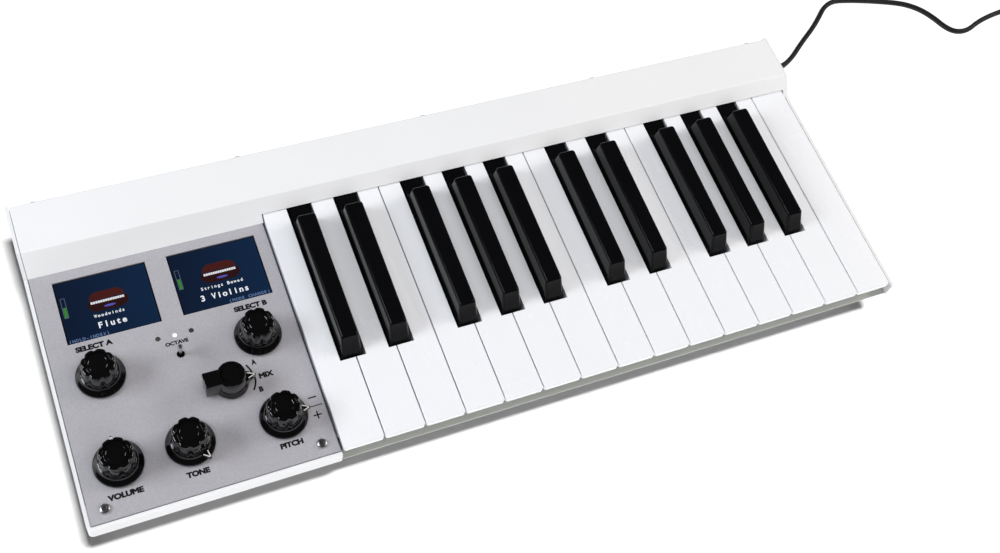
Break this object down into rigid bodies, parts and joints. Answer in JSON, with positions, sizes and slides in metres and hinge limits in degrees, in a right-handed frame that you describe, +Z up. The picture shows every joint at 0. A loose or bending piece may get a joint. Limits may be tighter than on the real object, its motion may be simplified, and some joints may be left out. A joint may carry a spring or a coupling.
{
  "type": "midi keyboard",
  "caption": "Compact two-octave keyboard sound module: bent white sheet case, full-size keys, grey panel with two screens, skirted knobs, a toggle and a supply lead.",
  "frame": {"origin": "middle of the case's footprint, on the surface that the feet stand on", "axes": "+X to the player's right along the keys, +Y away from the player, +Z up"},
  "size_m": [0.7997, 0.2443, 0.0638],
  "materials": {
    "white_sheet": "satin off-white powder coat",
    "panel_sheet": "satin warm grey paint with a printed legend",
    "rail_sheet": "satin warm grey paint",
    "zinc_sheet": "bright zinc plated sheet",
    "bright_steel": "ground and polished",
    "circuit_board": "green solder mask",
    "grey_rubber": "moulded silicone",
    "felt": "pressed felt",
    "screen": "gloss display glass",
    "led_lens": "clear lens",
    "black_plastic": "moulded",
    "chrome_metal": "plated",
    "screw_metal": "bright nickel",
    "black_rubber": "satin",
    "white_keys": "gloss moulded",
    "black_keys": "satin moulded",
    "knob_plastic": "gloss moulded"
  },
  "bodies": {
    "base": {"audio_jacks": "black_plastic", "base_tray": "white_sheet", "case_screws": "screw_metal", "contact_board": "circuit_board", "control_panel": "panel_sheet", "cord_coil": "black_rubber", "dc_inlet": "black_plastic", "dc_plug": "black_rubber", "display_a": "screen", "display_b": "screen", "front_rail": "rail_sheet", "key_chassis": "zinc_sheet", "key_felts": "felt", "main_board": "circuit_board", "octave_leds": "led_lens", "panel_screws": "screw_metal", "pivot_rod": "bright_steel", "rear_cover": "white_sheet", "rotary_controls": "zinc_sheet", "rubber_contacts": "grey_rubber", "rubber_feet": "black_rubber", "spring_comb": "bright_steel", "supply_cord": "black_rubber", "toggle_switch": "black_plastic", "usb_plug": "black_rubber", "usb_socket": "bright_steel"},
    "white_key_01": {"white_key_01": "white_keys"},
    "white_key_02": {"white_key_02": "white_keys"},
    "white_key_03": {"white_key_03": "white_keys"},
    "white_key_04": {"white_key_04": "white_keys"},
    "white_key_05": {"white_key_05": "white_keys"},
    "white_key_06": {"white_key_06": "white_keys"},
    "white_key_07": {"white_key_07": "white_keys"},
    "white_key_08": {"white_key_08": "white_keys"},
    "white_key_09": {"white_key_09": "white_keys"},
    "white_key_10": {"white_key_10": "white_keys"},
    "white_key_11": {"white_key_11": "white_keys"},
    "white_key_12": {"white_key_12": "white_keys"},
    "white_key_13": {"white_key_13": "white_keys"},
    "white_key_14": {"white_key_14": "white_keys"},
    "white_key_15": {"white_key_15": "white_keys"},
    "black_key_01": {"black_key_01": "black_keys"},
    "black_key_02": {"black_key_02": "black_keys"},
    "black_key_03": {"black_key_03": "black_keys"},
    "black_key_04": {"black_key_04": "black_keys"},
    "black_key_05": {"black_key_05": "black_keys"},
    "black_key_06": {"black_key_06": "black_keys"},
    "black_key_07": {"black_key_07": "black_keys"},
    "black_key_08": {"black_key_08": "black_keys"},
    "black_key_09": {"black_key_09": "black_keys"},
    "black_key_10": {"black_key_10": "black_keys"},
    "knob_volume": {"knob_volume": "knob_plastic"},
    "knob_tone": {"knob_tone": "knob_plastic"},
    "knob_pitch": {"knob_pitch": "knob_plastic"},
    "knob_mix": {"knob_mix": "knob_plastic"},
    "plunger_a": {"plunger_a": "bright_steel"},
    "knob_select_a": {"knob_select_a": "knob_plastic"},
    "plunger_b": {"plunger_b": "bright_steel"},
    "knob_select_b": {"knob_select_b": "knob_plastic"},
    "toggle_lever": {"toggle_lever": "chrome_metal"}
  },
  "joints": [
    {"name": "white_key_01_swing", "type": "hinge", "parent": "base", "child": "white_key_01", "pos_m": [0, 0.0824, 0.043], "axis": [1, 0, 0], "range_deg": [0, 3.3], "stiffness_Nm_per_rad": 1.5, "springref_deg": -2.86},
    {"name": "white_key_02_swing", "type": "hinge", "parent": "base", "child": "white_key_02", "pos_m": [0, 0.0824, 0.043], "axis": [1, 0, 0], "range_deg": [0, 3.3], "stiffness_Nm_per_rad": 1.5, "springref_deg": -2.86},
    {"name": "white_key_03_swing", "type": "hinge", "parent": "base", "child": "white_key_03", "pos_m": [0, 0.0824, 0.043], "axis": [1, 0, 0], "range_deg": [0, 3.3], "stiffness_Nm_per_rad": 1.5, "springref_deg": -2.86},
    {"name": "white_key_04_swing", "type": "hinge", "parent": "base", "child": "white_key_04", "pos_m": [0, 0.0824, 0.043], "axis": [1, 0, 0], "range_deg": [0, 3.3], "stiffness_Nm_per_rad": 1.5, "springref_deg": -2.86},
    {"name": "white_key_05_swing", "type": "hinge", "parent": "base", "child": "white_key_05", "pos_m": [0, 0.0824, 0.043], "axis": [1, 0, 0], "range_deg": [0, 3.3], "stiffness_Nm_per_rad": 1.5, "springref_deg": -2.86},
    {"name": "white_key_06_swing", "type": "hinge", "parent": "base", "child": "white_key_06", "pos_m": [0, 0.0824, 0.043], "axis": [1, 0, 0], "range_deg": [0, 3.3], "stiffness_Nm_per_rad": 1.5, "springref_deg": -2.86},
    {"name": "white_key_07_swing", "type": "hinge", "parent": "base", "child": "white_key_07", "pos_m": [0, 0.0824, 0.043], "axis": [1, 0, 0], "range_deg": [0, 3.3], "stiffness_Nm_per_rad": 1.5, "springref_deg": -2.86},
    {"name": "white_key_08_swing", "type": "hinge", "parent": "base", "child": "white_key_08", "pos_m": [0, 0.0824, 0.043], "axis": [1, 0, 0], "range_deg": [0, 3.3], "stiffness_Nm_per_rad": 1.5, "springref_deg": -2.86},
    {"name": "white_key_09_swing", "type": "hinge", "parent": "base", "child": "white_key_09", "pos_m": [0, 0.0824, 0.043], "axis": [1, 0, 0], "range_deg": [0, 3.3], "stiffness_Nm_per_rad": 1.5, "springref_deg": -2.86},
    {"name": "white_key_10_swing", "type": "hinge", "parent": "base", "child": "white_key_10", "pos_m": [0, 0.0824, 0.043], "axis": [1, 0, 0], "range_deg": [0, 3.3], "stiffness_Nm_per_rad": 1.5, "springref_deg": -2.86},
    {"name": "white_key_11_swing", "type": "hinge", "parent": "base", "child": "white_key_11", "pos_m": [0, 0.0824, 0.043], "axis": [1, 0, 0], "range_deg": [0, 3.3], "stiffness_Nm_per_rad": 1.5, "springref_deg": -2.86},
    {"name": "white_key_12_swing", "type": "hinge", "parent": "base", "child": "white_key_12", "pos_m": [0, 0.0824, 0.043], "axis": [1, 0, 0], "range_deg": [0, 3.3], "stiffness_Nm_per_rad": 1.5, "springref_deg": -2.86},
    {"name": "white_key_13_swing", "type": "hinge", "parent": "base", "child": "white_key_13", "pos_m": [0, 0.0824, 0.043], "axis": [1, 0, 0], "range_deg": [0, 3.3], "stiffness_Nm_per_rad": 1.5, "springref_deg": -2.86},
    {"name": "white_key_14_swing", "type": "hinge", "parent": "base", "child": "white_key_14", "pos_m": [0, 0.0824, 0.043], "axis": [1, 0, 0], "range_deg": [0, 3.3], "stiffness_Nm_per_rad": 1.5, "springref_deg": -2.86},
    {"name": "white_key_15_swing", "type": "hinge", "parent": "base", "child": "white_key_15", "pos_m": [0, 0.0824, 0.043], "axis": [1, 0, 0], "range_deg": [0, 3.3], "stiffness_Nm_per_rad": 1.5, "springref_deg": -2.86},
    {"name": "black_key_01_swing", "type": "hinge", "parent": "base", "child": "black_key_01", "pos_m": [0, 0.0824, 0.043], "axis": [1, 0, 0], "range_deg": [0, 3.9], "stiffness_Nm_per_rad": 1.5, "springref_deg": -2.86},
    {"name": "black_key_02_swing", "type": "hinge", "parent": "base", "child": "black_key_02", "pos_m": [0, 0.0824, 0.043], "axis": [1, 0, 0], "range_deg": [0, 3.9], "stiffness_Nm_per_rad": 1.5, "springref_deg": -2.86},
    {"name": "black_key_03_swing", "type": "hinge", "parent": "base", "child": "black_key_03", "pos_m": [0, 0.0824, 0.043], "axis": [1, 0, 0], "range_deg": [0, 3.9], "stiffness_Nm_per_rad": 1.5, "springref_deg": -2.86},
    {"name": "black_key_04_swing", "type": "hinge", "parent": "base", "child": "black_key_04", "pos_m": [0, 0.0824, 0.043], "axis": [1, 0, 0], "range_deg": [0, 3.9], "stiffness_Nm_per_rad": 1.5, "springref_deg": -2.86},
    {"name": "black_key_05_swing", "type": "hinge", "parent": "base", "child": "black_key_05", "pos_m": [0, 0.0824, 0.043], "axis": [1, 0, 0], "range_deg": [0, 3.9], "stiffness_Nm_per_rad": 1.5, "springref_deg": -2.86},
    {"name": "black_key_06_swing", "type": "hinge", "parent": "base", "child": "black_key_06", "pos_m": [0, 0.0824, 0.043], "axis": [1, 0, 0], "range_deg": [0, 3.9], "stiffness_Nm_per_rad": 1.5, "springref_deg": -2.86},
    {"name": "black_key_07_swing", "type": "hinge", "parent": "base", "child": "black_key_07", "pos_m": [0, 0.0824, 0.043], "axis": [1, 0, 0], "range_deg": [0, 3.9], "stiffness_Nm_per_rad": 1.5, "springref_deg": -2.86},
    {"name": "black_key_08_swing", "type": "hinge", "parent": "base", "child": "black_key_08", "pos_m": [0, 0.0824, 0.043], "axis": [1, 0, 0], "range_deg": [0, 3.9], "stiffness_Nm_per_rad": 1.5, "springref_deg": -2.86},
    {"name": "black_key_09_swing", "type": "hinge", "parent": "base", "child": "black_key_09", "pos_m": [0, 0.0824, 0.043], "axis": [1, 0, 0], "range_deg": [0, 3.9], "stiffness_Nm_per_rad": 1.5, "springref_deg": -2.86},
    {"name": "black_key_10_swing", "type": "hinge", "parent": "base", "child": "black_key_10", "pos_m": [0, 0.0824, 0.043], "axis": [1, 0, 0], "range_deg": [0, 3.9], "stiffness_Nm_per_rad": 1.5, "springref_deg": -2.86},
    {"name": "volume_turn", "type": "hinge", "parent": "base", "child": "knob_volume", "pos_m": [-0.22295, -0.0651, 0.048], "axis": [0, 0, -1], "range_deg": [-148, 152]},
    {"name": "tone_turn", "type": "hinge", "parent": "base", "child": "knob_tone", "pos_m": [-0.18585, -0.0652, 0.048], "axis": [0, 0, -1], "range_deg": [-297, 3]},
    {"name": "pitch_turn", "type": "hinge", "parent": "base", "child": "knob_pitch", "pos_m": [-0.13585, -0.0655, 0.048], "axis": [0, 0, -1], "range_deg": [-150, 150]},
    {"name": "mix_turn", "type": "hinge", "parent": "base", "child": "knob_mix", "pos_m": [-0.15675, -0.039, 0.048], "axis": [0, 0, -1], "range_deg": [-150, 150]},
    {"name": "select_a_push", "type": "slide", "parent": "base", "child": "plunger_a", "axis": [0, 0, -1], "range_m": [0, 0.0007], "stiffness_N_per_m": 4000, "springref_m": -0.001},
    {"name": "select_a_turn", "type": "hinge", "parent": "plunger_a", "child": "knob_select_a", "pos_m": [-0.22005, -0.0148, 0.048], "axis": [0, 0, -1], "continuous": true},
    {"name": "select_b_push", "type": "slide", "parent": "base", "child": "plunger_b", "axis": [0, 0, -1], "range_m": [0, 0.0007], "stiffness_N_per_m": 4000, "springref_m": -0.001},
    {"name": "select_b_turn", "type": "hinge", "parent": "plunger_b", "child": "knob_select_b", "pos_m": [-0.13515, -0.0151, 0.048], "axis": [0, 0, -1], "continuous": true},
    {"name": "octave_flick", "type": "hinge", "parent": "base", "child": "toggle_lever", "pos_m": [-0.17745, -0.0141, 0.0436], "axis": [0, 1, 0], "range_deg": [-11, 11], "stiffness_Nm_per_rad": 0.01}
  ]
}
